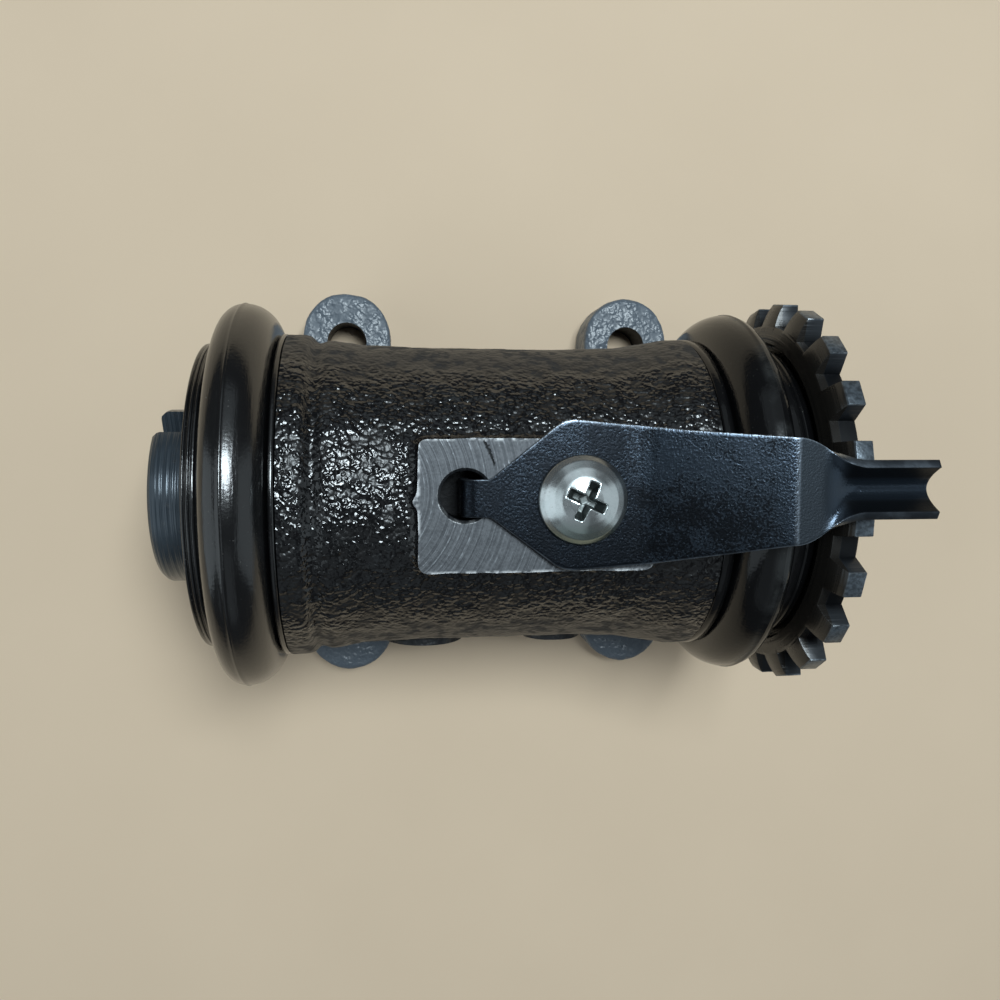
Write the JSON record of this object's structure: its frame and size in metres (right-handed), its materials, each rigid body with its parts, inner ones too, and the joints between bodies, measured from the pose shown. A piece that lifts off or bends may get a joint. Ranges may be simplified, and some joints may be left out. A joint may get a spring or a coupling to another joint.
{
  "type": "drum brake wheel cylinder",
  "caption": "Drum brake wheel cylinder: cast body on lugs, opposed pistons under rubber boots, and a star wheel adjuster held by a leaf spring.",
  "frame": {"origin": "centre of the four lug holes on the mounting face", "axes": "+X along the bore towards the star wheel, +Z from the mounting face towards the spring pad, +Y across the bore away from the ports"},
  "size_m": [0.1007, 0.0656, 0.0623],
  "materials": {
    "painted_casting": "black paint over a rough casting, worn",
    "dark_steel": "black oxide, oily",
    "plain_steel": "plain",
    "rubber": "glossy, dusty at the edges",
    "spring_steel": "blue-black oxide, worn at the edges",
    "zinc_plate": "bright zinc plate"
  },
  "bodies": {
    "cylinder": {"cylinder_body": "painted_casting", "plain_boot": "rubber", "adjuster_boot": "rubber", "cup_spring": "plain_steel", "lock_spring": "spring_steel", "lock_spring_screw": "zinc_plate"},
    "plain_side": {"plain_piston": "dark_steel", "plain_cup": "rubber", "plain_cup_disc": "plain_steel"},
    "adjuster_side": {"adjuster_piston": "dark_steel", "adjuster_cup": "rubber", "adjuster_cup_disc": "plain_steel"},
    "wheel": {"star_wheel": "dark_steel"},
    "bolt": {"adjuster_bolt": "dark_steel"}
  },
  "joints": [
    {"name": "plain_piston_slide", "type": "slide", "parent": "cylinder", "child": "plain_side", "axis": [-1, 0, 0], "range_m": [0, 0.005], "deforming": ["plain_boot", "cup_spring"]},
    {"name": "adjuster_piston_slide", "type": "slide", "parent": "cylinder", "child": "adjuster_side", "axis": [1, 0, 0], "range_m": [0, 0.005], "deforming": ["adjuster_boot", "cup_spring"]},
    {"name": "star_wheel_spin", "type": "hinge", "parent": "adjuster_side", "child": "wheel", "pos_m": [0.041, 0, 0.031], "axis": [1, 0, 0], "range_deg": [0, 1080], "deforming": ["lock_spring"]},
    {"name": "adjuster_bolt_feed", "type": "slide", "parent": "adjuster_side", "child": "bolt", "axis": [1, 0, 0], "range_m": [0, 0.00451]}
  ],
  "couplings": [
    {"joint": "adjuster_bolt_feed", "follows": "star_wheel_spin", "m_per_rad": 0.00023873}
  ]
}
